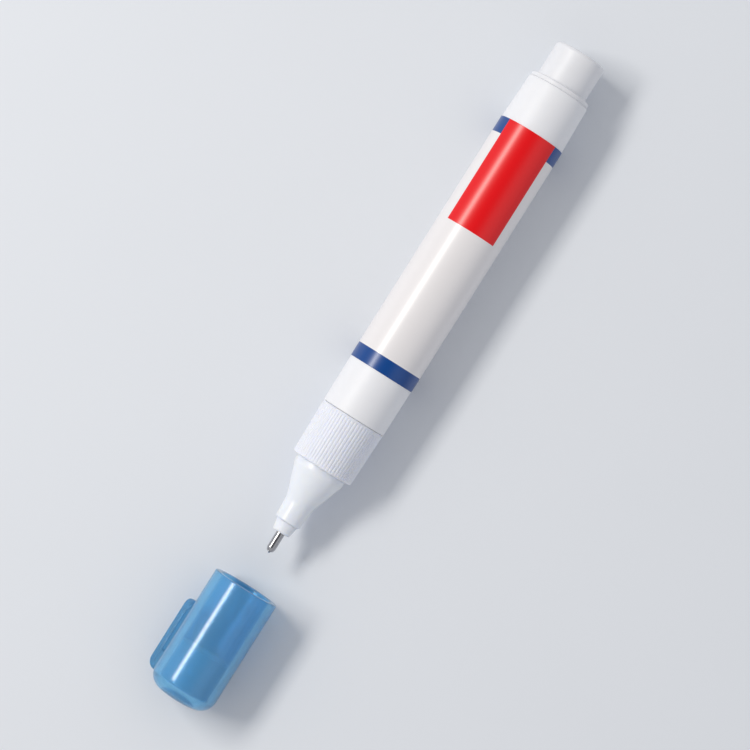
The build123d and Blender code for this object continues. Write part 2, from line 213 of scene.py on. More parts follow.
class NozzleSettings(PropertyGroup):
    """Sizes and colours of the stepped nozzle and the metal tip in it."""

    end_length: size("End length", "Length of the small stepped end", 2.4)
    end_front_radius: size("End front radius", "Radius at the very front", 1.85)
    end_rear_radius: size("End rear radius", "Radius of the stepped end at the step", 2.25)
    end_rounding: size("End rounding", "Rounding of the front edge", 0.3)
    step_foot: size("Step foot", "Hollow rounding at the foot of the step", 0.15)
    step_rounding: size("Step rounding", "Rounding of the step's edge", 0.35)
    throat_length: size("Throat length", "Length from the front to the end of the throat", 6.9)
    throat_front_radius: size("Throat front radius", "Radius of the throat at the step", 2.7)
    throat_rear_radius: size("Throat rear radius", "Radius of the throat where the cone starts", 2.95)
    throat_rounding: size("Throat rounding", "Hollow rounding between throat and cone", 6.0)
    land_radius: size("Land radius", "Radius of the land that the cap grips", 5.4)
    land_length: size("Land length", "Length of the land in front of the collar", 1.2)
    land_rounding: size("Land rounding", "Rounding between cone and land", 3.0)
    flange_radius: size("Flange radius", "Radius of the flange inside the collar", 5.89)
    flange_thickness: size("Flange thickness", "Thickness of the flange inside the collar", 1.3)
    spigot_radius: size("Spigot radius", "Radius of the spigot in the neck", 4.87)
    spigot_wall: size("Spigot wall", "Wall thickness of the spigot", 0.9)
    chamber_radius: size("Chamber radius", "Radius of the valve's chamber", 1.72)
    chamber_wall: size("Chamber wall", "Wall in front of the valve's chamber", 0.5)
    cavity_front: size("Cavity depth", "Depth from the flange to the chamber", 4.57)
    tip_radius: size("Tip radius", "Outer radius of the metal tip", 0.9)
    tip_bore_radius: size("Tip bore radius", "Inner radius of the metal tip", 0.62)
    tip_nose_radius: size("Tip nose radius", "Outer radius at the tip's front edge", 0.65)
    tip_nose_length: size("Tip nose length", "Length of the necked nose", 0.7)
    orifice_radius: size("Orifice radius", "Radius of the hole that the fluid leaves by", 0.43)
    orifice_length: size("Orifice length", "Length of that hole", 0.3)
    tip_flange_radius: size("Tip flange radius", "Radius of the tip's flange in the chamber", 1.55)
    tip_flange_thickness: size("Tip flange thickness", "Thickness of the tip's flange", 0.6)
    needle_radius: size("Needle radius", "Radius of the needle's shaft", 0.5)
    needle_nose_radius: size("Needle nose radius", "Radius of the needle's round nose", 0.33)
    needle_disc_radius: size("Needle disc radius", "Radius of the disc that the spring pushes", 1.3)
    needle_disc_thickness: size("Needle disc thickness", "Thickness of that disc", 0.7)
    valve_gap: size("Valve gap", "Play between the moving pieces of the valve", 0.12)
    spring_wire: size("Spring wire", "Diameter of the valve spring's wire", 0.32)
    spring_turns: FloatProperty(name="Spring turns", description="Turns of the spring", default=5.5, min=1)
    natural: tint("Nozzle tone", "Milky tone of the nozzle", "EDF1FB")
    nickel: tint("Tip metal", "Colour of the nickel silver", "B3B3B6")
    steel: tint("Needle metal", "Colour of the stainless steel", "B4B6BA")
    wire: tint("Spring metal", "Colour of the drawn stainless wire", "A9ABAF")


class CapSettings(PropertyGroup):
    """Sizes and colours of the cap, its pocket clip and its inner cap."""

    bore_radius: size("Bore radius", "Inner radius of the cap", 5.48)
    end_wall: size("End wall", "Thickness of the closed end", 1.5)
    end_crown: size("End crown", "How far the closed end bulges", 0.8)
    end_rounding: size("End rounding", "Rounding round the closed end", 3.4)
    mouth_rounding: size("Mouth rounding", "Rounding of the mouth's outer edge", 0.3)
    lead_in: size("Lead-in", "Rounding of the mouth's inner edge", 0.4)
    inner_chamfer: size("Inner chamfer", "Slope at the bottom of the bore", 1.5)
    chamfer_rounding: size("Chamfer rounding", "Hollow rounding at both ends of that slope", 0.5)
    clip_setback: size("Clip setback", "Distance from the closed end to the clip", 2.4)
    clip_length: size("Clip length", "Length of the clip", 15.6)
    clip_width: size("Clip width", "Width of the clip", 4.0)
    clip_thickness: size("Clip thickness", "Thickness of the clip's strap", 1.397)
    clip_gap: size("Clip gap", "Space between the strap and the cap's wall", 1.1)
    clip_root_length: size("Clip root", "Length of the root that joins clip and wall", 4.0)
    clip_root_depth: size("Root depth", "How deep the root stands in the wall", 0.6)
    clip_root_rounding: size("Root rounding", "Rounding of the strap over its root", 2.0)
    clip_throat_rounding: size("Throat rounding", "Rounding between root and strap underneath", 0.5)
    clip_nub_height: size("Nub height", "Height of the nub at the clip's tip", 0.7)
    clip_nub_length: size("Nub length", "Length of that nub", 2.8)
    clip_tip_rounding: size("Tip rounding", "Rounding of the clip's tip seen from above", 1.5)
    clip_tip_blunting: size("Tip blunting", "Rounding of the clip's tip seen from the side", 0.3)
    clip_edge_rounding: size("Edge rounding", "Rounding of the strap's outer edges", 0.4)
    clip_under_rounding: size("Under rounding", "Rounding of the strap's inner edges", 0.15)
    inner_wall: size("Inner cap wall", "Wall thickness of the inner cap", 0.9)
    socket_radius: size("Socket radius", "Radius of the socket for the metal tip", 1.1)
    socket_wall: size("Socket wall", "Wall thickness of the socket", 0.8)
    socket_depth: size("Socket depth", "Depth of the socket", 4.6)
    blue: tint("Cap blue", "Blue of the see-through cap", "8CD6FF")
    inner_natural: tint("Inner cap tone", "Tone of the soft inner cap", "DCE6F0")


class InsideSettings(PropertyGroup):
    """Colours of the pieces inside the pen."""

    washer: tint("Washer black", "Black of the rubber washer", "2B2B2E")
    retainer: tint("Retainer tone", "Tone of the spring's retainer", "E4E2DB")
    ball: tint("Ball metal", "Colour of the ball's steel", "B6B7BB")


class StageSettings(PropertyGroup):
    """Floor, light and camera."""

    floor_tone: tint("Floor tone", "Colour of the plain floor", "E4E8EE")
    floor_reach: size("Floor reach", "Half the side of the floor", 3000)
    sky_top: tint("Sky top", "Colour of the soft light from above", "F7F7F9")
    sky_rim: tint("Sky rim", "Colour of the soft light from the sides", "B7BECD")
    sky_hole: tint("Sky hole", "Colour of the shaded place straight above the pen", "5A5E66")
    sky_level: FloatProperty(name="Sky level", description="Strength of the sky", default=0.72, min=0)
    key_power: FloatProperty(name="Key power", description="Power of the lamp", default=4.8, unit="POWER")
    key_tone: tint("Key tone", "Faintly warm colour of the key light", "FFFBF4")
    key_length: size("Key length", "Length of the key light", 500)
    key_width: size("Key width", "Width of the key light", 172)
    key_distance: size("Key distance", "Distance of the key light", 920)
    key_height: angle("Key height", "Angle of the key light above the floor", 47)
    tail_lean: angle("Pen lean", "Angle of the pen in the picture", 57.8)
    view_width: size("View width", "Width of the picture at the pen", 147)
    view_distance: size("View distance", "Distance of the camera", 620)


class CorrectionPenSettings(PropertyGroup):
    """All settings of the pen."""

    barrel: PointerProperty(type=BarrelSettings)
    label: PointerProperty(type=LabelSettings)
    collar: PointerProperty(type=CollarSettings)
    nozzle: PointerProperty(type=NozzleSettings)
    cap: PointerProperty(type=CapSettings)
    inside: PointerProperty(type=InsideSettings)
    stage: PointerProperty(type=StageSettings)


def add_node(tree, kind, inputs=(), **settings):
    """Adds a node with its settings, and sets or links its inputs."""
    node = tree.nodes.new(kind)
    for name, value in settings.items():
        setattr(node, name, value)
    for socket, value in dict(inputs).items():
        if isinstance(value, bpy.types.NodeSocket):
            tree.links.new(value, node.inputs[socket])
        else:
            node.inputs[socket].default_value = value
    return node


def new_material(name):
    """An empty node material, its tree and the place on the piece."""
    material = bpy.data.materials.new(name)
    material.use_nodes = True
    tree = material.node_tree
    tree.nodes.clear()
    place = add_node(tree, "ShaderNodeTexCoord").outputs["Object"]
    return material, tree, place


def finish_material(material, inputs):
    """Ends a material with a shader that takes these inputs."""
    shader = add_node(material.node_tree, "ShaderNodeBsdfPrincipled", inputs)
    add_node(material.node_tree, "ShaderNodeOutputMaterial", {"Surface": shader.outputs[0]})
    return material


def drift(tree, place, colour, shade, spacing):
    """A colour that drifts a little towards a darker shade of itself, in patches of a spacing."""
    noise = add_node(tree, "ShaderNodeTexNoise", {"Vector": place, "Scale": 1 / spacing, "Detail": 3.0})
    darker = tuple(tone * shade for tone in colour[:3]) + (1.0,)
    inputs = {MIX_SHARE: noise.outputs[0], MIX_FIRST: colour, MIX_SECOND: darker}
    return add_node(tree, "ShaderNodeMix", inputs, data_type="RGBA").outputs[MIX_RESULT]


def grain(tree, place, spacing, height, strength):
    """A fine uneven surface with bumps of a spacing and a height."""
    noise = add_node(tree, "ShaderNodeTexNoise", {"Vector": place, "Scale": 1 / spacing, "Detail": 2.0})
    inputs = {"Height": noise.outputs[0], "Distance": height, "Strength": strength}
    return add_node(tree, "ShaderNodeBump", inputs).outputs[0]


def moulded_polyethylene(name, colour, roughness):
    """Opaque moulded polyethylene, or a plastic like it."""
    # Waxy and satin: light sinks in a little, the gloss is broad, and the mould leaves a faint orange peel
    material, tree, place = new_material(name)
    inputs = {
        "Base Color": drift(tree, place, colour, shade=0.965, spacing=5 * MM),
        "Roughness": roughness,
        "IOR": 1.51,
        "Subsurface Weight": 0.25,
        "Subsurface Radius": (1.0, 0.95, 0.9),
        "Subsurface Scale": 0.7 * MM,
        "Normal": grain(tree, place, spacing=0.5 * MM, height=0.01 * MM, strength=0.35),
    }
    return finish_material(material, inputs)


def natural_polypropylene(name, colour, roughness, depth):
    """Unpigmented moulded polypropylene."""
    # Milky: light goes deep and comes out soft and cool, so edges and thin walls glow
    material, tree, place = new_material(name)
    inputs = {
        "Base Color": drift(tree, place, colour, shade=0.955, spacing=3 * MM),
        "Roughness": roughness,
        "IOR": 1.49,
        "Subsurface Weight": 0.9,
        "Subsurface Radius": (1.1, 1.0, 0.85),
        "Subsurface Scale": depth,
        "Normal": grain(tree, place, spacing=1.2 * MM, height=0.006 * MM, strength=0.2),
    }
    return finish_material(material, inputs)


def printed_film(label):
    """Varnished polypropylene film with its printed band, ring and panel."""
    # Thin and glossy: flat even inks with clean edges, and a skin that waves a little over the barrel
    material, tree, place = new_material("varnished_printed_polypropylene_film")
    ink_edge = 0.03 * MM
    offset = (-LABEL_LOW.x, -AXIS_Y, -AXIS_Z)
    local = add_node(tree, "ShaderNodeMapping", {"Vector": place, "Location": offset}).outputs[0]
    along, side, up = add_node(tree, "ShaderNodeSeparateXYZ", {0: local}).outputs
    turn = add_node(tree, "ShaderNodeMath", {0: side, 1: up}, operation="ARCTAN2").outputs[0]
    reach = add_node(tree, "ShaderNodeMath", {0: turn}, operation="ABSOLUTE").outputs[0]

    # Where each ink starts and ends: along the pen for band, ring and panel, and round it for the panel
    edges = {
        "band": (along, label.band_length, -ink_edge),
        "ring": (along, LABEL_LENGTH - label.ring_length, ink_edge),
        "panel_along": (along, LABEL_LENGTH - label.panel_length, ink_edge),
        "panel_round": (reach, label.panel_reach, -ink_edge / LABEL_RADIUS),
    }
    share = {}
    for name, (value, middle, half) in edges.items():
        inputs = {"Value": value, "From Min": middle - half, "From Max": middle + half}
        share[name] = add_node(tree, "ShaderNodeMapRange", inputs).outputs[0]
    inputs = {0: share["band"], 1: share["ring"]}
    blue_share = add_node(tree, "ShaderNodeMath", inputs, operation="MAXIMUM").outputs[0]
    inputs = {0: share["panel_along"], 1: share["panel_round"]}
    red_share = add_node(tree, "ShaderNodeMath", inputs, operation="MULTIPLY").outputs[0]
    print_tone = drift(tree, place, label.film_white, shade=0.975, spacing=6 * MM)
    for ink, shade, ink_share in ((label.ink_blue, 0.9, blue_share), (label.ink_red, 0.94, red_share)):
        inked = drift(tree, place, ink, shade, spacing=0.5 * MM)
        inputs = {MIX_SHARE: ink_share, MIX_FIRST: print_tone, MIX_SECOND: inked}
        print_tone = add_node(tree, "ShaderNodeMix", inputs, data_type="RGBA").outputs[MIX_RESULT]
    inputs = {
        "Base Color": print_tone,
        "Roughness": 0.28,
        "IOR": 1.52,
        "Normal": grain(tree, place, spacing=4 * MM, height=0.02 * MM, strength=0.25),
    }
    return finish_material(material, inputs)


def worked_metal(name, colour, roughness, mark_spacing):
    """Drawn or turned metal."""
    # Bright with a narrow gloss, crossed by fine rings from the tool
    # The rings are drawn coarser than they are so that they show
    material, tree, place = new_material(name)
    wave = tau / WAVE_RATE / mark_spacing
    inputs = {"Vector": place, "Scale": wave, "Distortion": 1.5, "Detail": 2.0}
    rings = add_node(tree, "ShaderNodeTexWave", inputs, bands_direction="X")
    inputs = {"Height": rings.outputs["Fac"], "Distance": 0.004 * MM, "Strength": 0.4}
    marks = add_node(tree, "ShaderNodeBump", inputs)
    inputs = {
        "Base Color": drift(tree, place, colour, shade=0.9, spacing=0.8 * MM),
        "Metallic": 1.0,
        "Roughness": roughness,
        "Normal": marks.outputs[0],
    }
    return finish_material(material, inputs)


def tinted_polypropylene(name, colour):
    """See-through polypropylene with a blue tint."""
    # Clear but faintly cloudy: what is inside shows as a soft shape
    # Thick places are darker, and the skin is polished
    material, tree, place = new_material(name)
    inputs = {
        "Base Color": drift(tree, place, colour, shade=0.94, spacing=4 * MM),
        "Roughness": 0.16,
        "IOR": 1.49,
        "Transmission Weight": 0.75,
        "Normal": grain(tree, place, spacing=1.2 * MM, height=0.006 * MM, strength=0.25),
    }
    return finish_material(material, inputs)


def soft_rubber(name, colour):
    """Moulded nitrile rubber."""
    # Dark and dull, with a dusty bloom in patches
    material, tree, place = new_material(name)
    inputs = {
        "Base Color": drift(tree, place, colour, shade=0.7, spacing=0.6 * MM),
        "Roughness": 0.75,
        "IOR": 1.52,
        "Normal": grain(tree, place, spacing=0.2 * MM, height=0.01 * MM, strength=0.5),
    }
    return finish_material(material, inputs)


def rounded(corners):
    """A profile whose rounded corners (x, r, rounding) become arcs, with a point held close to each end."""
    profile = []
    for index, (x, r, rounding) in enumerate(corners):
        here = Vector((x, r))
        if not rounding:
            profile.append(here)
            continue
        back = (Vector(corners[index - 1][:2]) - here).normalized()
        ahead = (Vector(corners[(index + 1) % len(corners)][:2]) - here).normalized()
        half = back.angle(ahead) / 2
        reach = rounding / tan(half)
        centre = here + (back + ahead).normalized() * rounding / sin(half)
        start = here + back * reach - centre
        end = here + ahead * reach - centre
        sweep = atan2(start.x * end.y - start.y * end.x, start.dot(end))
        steps = max(ARC_STEPS_LEAST, ceil(abs(sweep) / ARC_STEP))
        hold = HOLD_SHARE * rounding
        profile.append(centre + start + back * hold)
        for step in range(steps + 1):
            profile.append(centre + Matrix.Rotation(sweep * step / steps, 2) @ start)
        profile.append(centre + end + ahead * hold)
    return profile


def arc_dip(radius, away):
    """How far an arc of a radius has dropped at a distance past its crest."""
    return radius - sqrt(max(radius**2 - max(away, 0) ** 2, 0))


def quarter_turn(steps):
    """Angles in even steps up to a right angle."""
    return [pi / 2 * step / steps for step in range(steps + 1)]


def new_mesh(shape, name):
    """The mesh of a finished shape."""
    mesh = bpy.data.meshes.new(name)
    shape.to_mesh(mesh)
    shape.free()
    return mesh


def closed_mesh(shape, name):
    """The smooth mesh of a closed shape, with its faces pointing outwards."""
    bmesh.ops.remove_doubles(shape, verts=shape.verts, dist=WELD)
    bmesh.ops.recalc_face_normals(shape, faces=shape.faces)
    if not shape.faces or any(not edge.is_manifold for edge in shape.edges):
        raise RuntimeError(f"{name} is not closed")
    mesh = new_mesh(shape, name)
    mesh.shade_smooth()
    mesh.set_sharp_from_angle(angle=SHARP_ANGLE)
    return mesh


def bridge(shape, first, second):
    """Faces between two rings, either of which may be a single point on the axis."""
    count = max(len(first), len(second))
    for place in range(count):
        after = (place + 1) % count
        corners = [first[place % len(first)], first[after % len(first)]]
        corners += [second[after % len(second)], second[place % len(second)]]
        unique = list(dict.fromkeys(corners))
        if len(unique) > 2:
            shape.faces.new(unique)


def turned(corners, name):
    """A closed mesh swept by the rounded profile of these corners round the pen's axis."""
    shape = bmesh.new()
    rings = []
    for x, r in rounded(corners):
        count = TURN_SEGMENTS if r > NEAR else 1
        turns = [tau * place / count for place in range(count)]
        points = [(x, AXIS_Y + r * sin(turn), AXIS_Z + r * cos(turn)) for turn in turns]
        rings.append([shape.verts.new(point) for point in points])
    for first, second in zip(rings, rings[1:] + rings[:1]):
        bridge(shape, first, second)
    return closed_mesh(shape, name)


def add_object(name, data):
    """A new object in the scene with this data."""
    thing = bpy.data.objects.new(name, data)
    bpy.context.scene.collection.objects.link(thing)
    return thing


def evaluated_mesh(source, name):
    """The closed mesh that an object's modifiers make of it. The object itself is removed."""
    whole = source.evaluated_get(bpy.context.evaluated_depsgraph_get())
    shape = bmesh.new()
    shape.from_mesh(bpy.data.meshes.new_from_object(whole))
    source.modifiers.clear()
    bpy.data.objects.remove(source)
    return closed_mesh(shape, name)


def set_piece(name, mesh, material, body, node):
    """Puts a finished mesh in the scene in place of a node of the frame."""
    mesh.materials.append(material)
    piece = add_object(name, mesh)
    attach(piece, body)
    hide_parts(node)
    return piece


class CORRECTION_PEN_OT_barrel(Operator):
    """Turn the squeeze barrel with its neck, shoulder and drawn-in tail"""

    bl_idname = "correction_pen.barrel"
    bl_label = "Barrel"

    def execute(self, context):
        barrel = context.scene.correction_pen.barrel
        seam = COLLAR_HIGH.x + barrel.seam_gap
        shoulder = seam + barrel.shoulder
        corners = [
            (BARREL_LOW.x, barrel.neck_bore_radius, 0),
            (BARREL_LOW.x, barrel.neck_radius, 0),
            (seam, barrel.neck_radius, 0),
            (seam, barrel.front_radius, barrel.seam_rounding),
            (LABEL_LOW.x, barrel.radius, 0),
            (LABEL_HIGH.x, barrel.radius, 0),
            (BARREL_HIGH.x, barrel.tail_radius, barrel.tail_rounding),
            (BARREL_HIGH.x, barrel.bore_radius, 0),
            (shoulder + barrel.shoulder_cone, barrel.bore_radius, 0),
            (shoulder, barrel.neck_bore_radius, 0),
        ]
        mesh = turned(corners, "squeeze_barrel")
        white = moulded_polyethylene("blow_moulded_white_polyethylene", barrel.white, roughness=0.48)
        set_piece("squeeze_barrel", mesh, white, "pen_body", "barrel")
        return {"FINISHED"}


class CORRECTION_PEN_OT_tail_plug(Operator):
    """Turn the hollow plug that closes the tail, with its flange and post"""

    bl_idname = "correction_pen.tail_plug"
    bl_label = "Tail plug"

    def execute(self, context):
        barrel = context.scene.correction_pen.barrel
        flange_rear = BARREL_HIGH.x + barrel.flange_thickness
        hollow = barrel.post_radius - barrel.plug_wall
        floor = PLUG_HIGH.x - barrel.plug_wall
        lead_in, front_edge, rear_edge, post_foot = 0.4 * MM, 0.12 * MM, 0.3 * MM, 0.2 * MM
        corners = [
            (floor, 0, 0),
            (floor, hollow, 0),
            (PLUG_LOW.x, hollow, 0),
            (PLUG_LOW.x, barrel.plug_radius, lead_in),
            (BARREL_HIGH.x, barrel.plug_radius, 0),
            (BARREL_HIGH.x, barrel.flange_radius, front_edge),
            (flange_rear, barrel.flange_radius, rear_edge),
            (flange_rear, barrel.post_radius, post_foot),
            (PLUG_HIGH.x, barrel.post_radius, barrel.post_rounding),
            (PLUG_HIGH.x, 0, 0),
        ]
        mesh = turned(corners, "tail_post")
        white = moulded_polyethylene(
            "injection_moulded_white_polyethylene", barrel.plug_white, roughness=0.42
        )
        set_piece("tail_post", mesh, white, "pen_body", "tail_plug")
        return {"FINISHED"}


class CORRECTION_PEN_OT_label(Operator):
    """Wrap the printed film round the barrel"""

    bl_idname = "correction_pen.label"
    bl_label = "Printed film"

    def execute(self, context):
        label = context.scene.correction_pen.label
        film_inside = LABEL_RADIUS - label.thickness
        corners = [
            (LABEL_LOW.x, film_inside, 0),
            (LABEL_LOW.x, LABEL_RADIUS, label.edge_rounding),
            (LABEL_HIGH.x, LABEL_RADIUS, label.edge_rounding),
            (LABEL_HIGH.x, film_inside, 0),
        ]
        mesh = turned(corners, "printed_film")
        set_piece("printed_film", mesh, printed_film(label), "pen_body", "label_sleeve")
        return {"FINISHED"}


def new_tree(name, kinds, result):
    """A Geometry Nodes tree with inputs of these kinds and one result, its sockets and what they give."""
    tree = bpy.data.node_groups.new(name, "GeometryNodeTree")
    sockets = {}
    for label, kind in kinds.items():
        socket = tree.interface.new_socket(label, in_out="INPUT", socket_type="NodeSocket" + kind)
        sockets[label] = socket.identifier
    tree.interface.new_socket(result, in_out="OUTPUT", socket_type="NodeSocketGeometry")
    return tree, sockets, add_node(tree, "NodeGroupInput").outputs


def finish_tree(tree, geometry, material):
    """Ends a Geometry Nodes tree with its material."""
    dressed = add_node(tree, "GeometryNodeSetMaterial", {"Geometry": geometry, "Material": material})
    add_node(tree, "NodeGroupOutput", {0: dressed.outputs[0]})


def grown(carrier, tree, sockets, values, name):
    """The closed mesh that Geometry Nodes make on a mesh with these values."""
    source = add_object(name, carrier)
    rule = source.modifiers.new(name, "NODES")
    rule.node_group = tree
    for label, value in values.items():
        rule[sockets[label]] = value
    return evaluated_mesh(source, name)


def rib_sector(collar):
    """One groove's share of the collar round the X axis, from one rib's middle to the next rib's."""
    front, rear = COLLAR_LOW.x, COLLAR_HIGH.x
    slope = (collar.rear_radius - collar.front_radius) / (rear - front)
    lip_rear = front + collar.lip_thickness
    rib_rear = rear - collar.plain_band
    rib_full = rib_rear - collar.groove_fade

    def cone(x):
        """The collar's outer radius over the ribs."""
        return collar.rear_radius - slope * (rear - x)

    corners = [
        (rear, collar.bore_radius, 0),
        (lip_rear, collar.bore_radius, 0),
        (lip_rear, collar.lip_radius, 0),
        (front, collar.lip_radius, collar.lip_rounding),
        (front, collar.front_radius, collar.front_rounding),
        *((x, cone(x), 0) for x in (rib_full, (rib_full + rib_rear) / 2, rib_rear)),
        (rear, collar.rear_radius, collar.rear_rounding),
    ]
    pitch = tau / collar.rib_count
    half_groove = collar.groove_width / 2 / collar.rear_radius
    shares = [step / GROOVE_STEPS for step in range(-GROOVE_STEPS, GROOVE_STEPS + 1)]
    turns = [-pitch / 2] + [half_groove * share for share in shares] + [pitch / 2]
    depths = [0] + [collar.groove_depth * cos(share * pi / 2) ** 2 for share in shares] + [0]
    shape = bmesh.new()
    rows = []
    for x, r in rounded(corners):
        share = min(max((rib_rear - x) / collar.groove_fade, 0), 1)
        outside = r > collar.bore_radius + NEAR
        row = []
        for turn, depth in zip(turns, depths):
            reach = min(r, cone(x) - depth * share) if outside else r
            row.append(shape.verts.new((x, reach * sin(turn), reach * cos(turn))))
        rows.append(row)
    for first, second in zip(rows, rows[1:] + rows[:1]):
        for place in range(len(turns) - 1):
            shape.faces.new((first[place], first[place + 1], second[place + 1], second[place]))
    return new_mesh(shape, "rib_sector")


def rib_ring_tree():
    """Geometry Nodes that set a sector round the pen's axis and weld the ring."""
    kinds = {
        "Sector": "Geometry",
        "Rib count": "Int",
        "Axis point": "Vector",
        "Weld distance": "Float",
        "Material": "Material",
    }
    tree, sockets, given = new_tree("rib_ring", kinds, "Ring")
    inputs = {"Count": given["Rib count"], "Position": given["Axis point"]}
    points = add_node(tree, "GeometryNodePoints", inputs)
    pitch = add_node(tree, "ShaderNodeMath", {0: tau, 1: given["Rib count"]}, operation="DIVIDE")
    index = add_node(tree, "GeometryNodeInputIndex")
    inputs = {0: index.outputs[0], 1: pitch.outputs[0]}
    turn = add_node(tree, "ShaderNodeMath", inputs, operation="MULTIPLY")
    rotation = add_node(tree, "ShaderNodeCombineXYZ", {"X": turn.outputs[0]})
    inputs = {"Points": points.outputs[0], "Instance": given["Sector"], "Rotation": rotation.outputs[0]}
    ring = add_node(tree, "GeometryNodeInstanceOnPoints", inputs)
    real = add_node(tree, "GeometryNodeRealizeInstances", {"Geometry": ring.outputs[0]})
    inputs = {"Geometry": real.outputs[0], "Distance": given["Weld distance"]}
    welded = add_node(tree, "GeometryNodeMergeByDistance", inputs)
    finish_tree(tree, welded.outputs[0], given["Material"])
    return tree, sockets


class CORRECTION_PEN_OT_collar(Operator):
    """Ring the collar with its fine ribs"""

    bl_idname = "correction_pen.collar"
    bl_label = "Ribbed collar"

    def execute(self, context):
        collar = context.scene.correction_pen.collar
        natural = natural_polypropylene(
            "satin_natural_polypropylene", collar.natural, roughness=0.5, depth=0.8 * MM
        )
        tree, sockets = rib_ring_tree()
        values = {
            "Rib count": collar.rib_count,
            "Axis point": (0, AXIS_Y, AXIS_Z),
            "Weld distance": RING_WELD,
            "Material": natural,
        }
        mesh = grown(rib_sector(collar), tree, sockets, values, "ribbed_collar")
        set_piece("ribbed_collar", mesh, natural, "pen_body", "collar")
        return {"FINISHED"}


class CORRECTION_PEN_OT_nozzle(Operator):
    """Turn the stepped nozzle with its land, cone, throat and chamber"""

    bl_idname = "correction_pen.nozzle"
    bl_label = "Stepped nozzle"

    def execute(self, context):
        nozzle = context.scene.correction_pen.nozzle
        collar = context.scene.correction_pen.collar
        front = NOZZLE_LOW.x
        step = front + nozzle.end_length
        flange_front = COLLAR_LOW.x + collar.lip_thickness
        flange_rear = flange_front + nozzle.flange_thickness
        spigot_bore = nozzle.spigot_radius - nozzle.spigot_wall
        chamber_front = step + nozzle.chamber_wall
        corners = [
            (front, nozzle.tip_radius, 0),
            (front, nozzle.end_front_radius, nozzle.end_rounding),
            (step, nozzle.end_rear_radius, nozzle.step_foot),
            (step, nozzle.throat_front_radius, nozzle.step_rounding),
            (front + nozzle.throat_length, nozzle.throat_rear_radius, nozzle.throat_rounding),
            (COLLAR_LOW.x - nozzle.land_length, nozzle.land_radius, nozzle.land_rounding),
            (flange_front, nozzle.land_radius, 0),
            (flange_front, nozzle.flange_radius, 0),
            (flange_rear, nozzle.flange_radius, 0),
            (flange_rear, nozzle.spigot_radius, 0),
            (NOZZLE_HIGH.x, nozzle.spigot_radius, 0),
            (NOZZLE_HIGH.x, spigot_bore, 0),
            (flange_front, spigot_bore, 0),
            (flange_front - nozzle.cavity_front, nozzle.chamber_radius, 0),
            (chamber_front, nozzle.chamber_radius, 0),
            (chamber_front, nozzle.tip_radius, 0),
        ]
        mesh = turned(corners, "stepped_nozzle")
        natural = natural_polypropylene(
            "glossy_natural_polypropylene", nozzle.natural, roughness=0.3, depth=1.0 * MM
        )
        set_piece("stepped_nozzle", mesh, natural, "pen_body", "nozzle")
        return {"FINISHED"}


class CORRECTION_PEN_OT_tip(Operator):
    """Turn the metal tip and the valve needle in it"""

    bl_idname = "correction_pen.tip"
    bl_label = "Metal tip and needle"

    def execute(self, context):
        nozzle = context.scene.correction_pen.nozzle
        front = TIP_LOW.x
        nose = front + nozzle.tip_nose_length
        flange_front = TIP_HIGH.x - nozzle.tip_flange_thickness
        orifice_edge, nose_edge, nose_foot = 0.05 * MM, 0.1 * MM, 0.4 * MM
        corners = [
            (front, nozzle.orifice_radius, orifice_edge),
            (front, nozzle.tip_nose_radius, nose_edge),
            (nose, nozzle.tip_radius, nose_foot),
            (flange_front, nozzle.tip_radius, 0),
            (flange_front, nozzle.tip_flange_radius, 0),
            (TIP_HIGH.x, nozzle.tip_flange_radius, 0),
            (TIP_HIGH.x, nozzle.tip_bore_radius, 0),
            (nose, nozzle.tip_bore_radius, 0),
            (front + nozzle.orifice_length, nozzle.orifice_radius, 0),
        ]
        mesh = turned(corners, "metal_tip")
        nickel = worked_metal("drawn_nickel_silver", nozzle.nickel, roughness=0.22, mark_spacing=0.16 * MM)
        set_piece("metal_tip", mesh, nickel, "pen_body", "tip_tube")

        disc_front = TIP_HIGH.x + nozzle.valve_gap
        disc_rear = disc_front + nozzle.needle_disc_thickness
        shoulder = front + nozzle.orifice_length + nozzle.valve_gap
        nose_radius = nozzle.needle_nose_radius
        # Just short of a half ball, so that the arc ends clear of the axis
        nose_rounding = 0.98 * nose_radius
        shoulder_edge, tail_edge = 0.05 * MM, 0.1 * MM
        corners = [
            (NEEDLE_LOW.x, 0, 0),
            (NEEDLE_LOW.x, nose_radius, nose_rounding),
            (shoulder, nose_radius, shoulder_edge),
            (nose + nozzle.valve_gap, nozzle.needle_radius, shoulder_edge),
            (disc_front, nozzle.needle_radius, 0),
            (disc_front, nozzle.needle_disc_radius, 0),
            (disc_rear, nozzle.needle_disc_radius, 0),
            (disc_rear, nozzle.needle_radius, 0),
            (NEEDLE_HIGH.x, nozzle.needle_radius, tail_edge),
            (NEEDLE_HIGH.x, 0, 0),
        ]
        mesh = turned(corners, "needle_pin")
        steel = worked_metal("ground_stainless_steel", nozzle.steel, roughness=0.2, mark_spacing=0.12 * MM)
        set_piece("needle_pin", mesh, steel, "needle", "valve_needle")
        return {"FINISHED"}


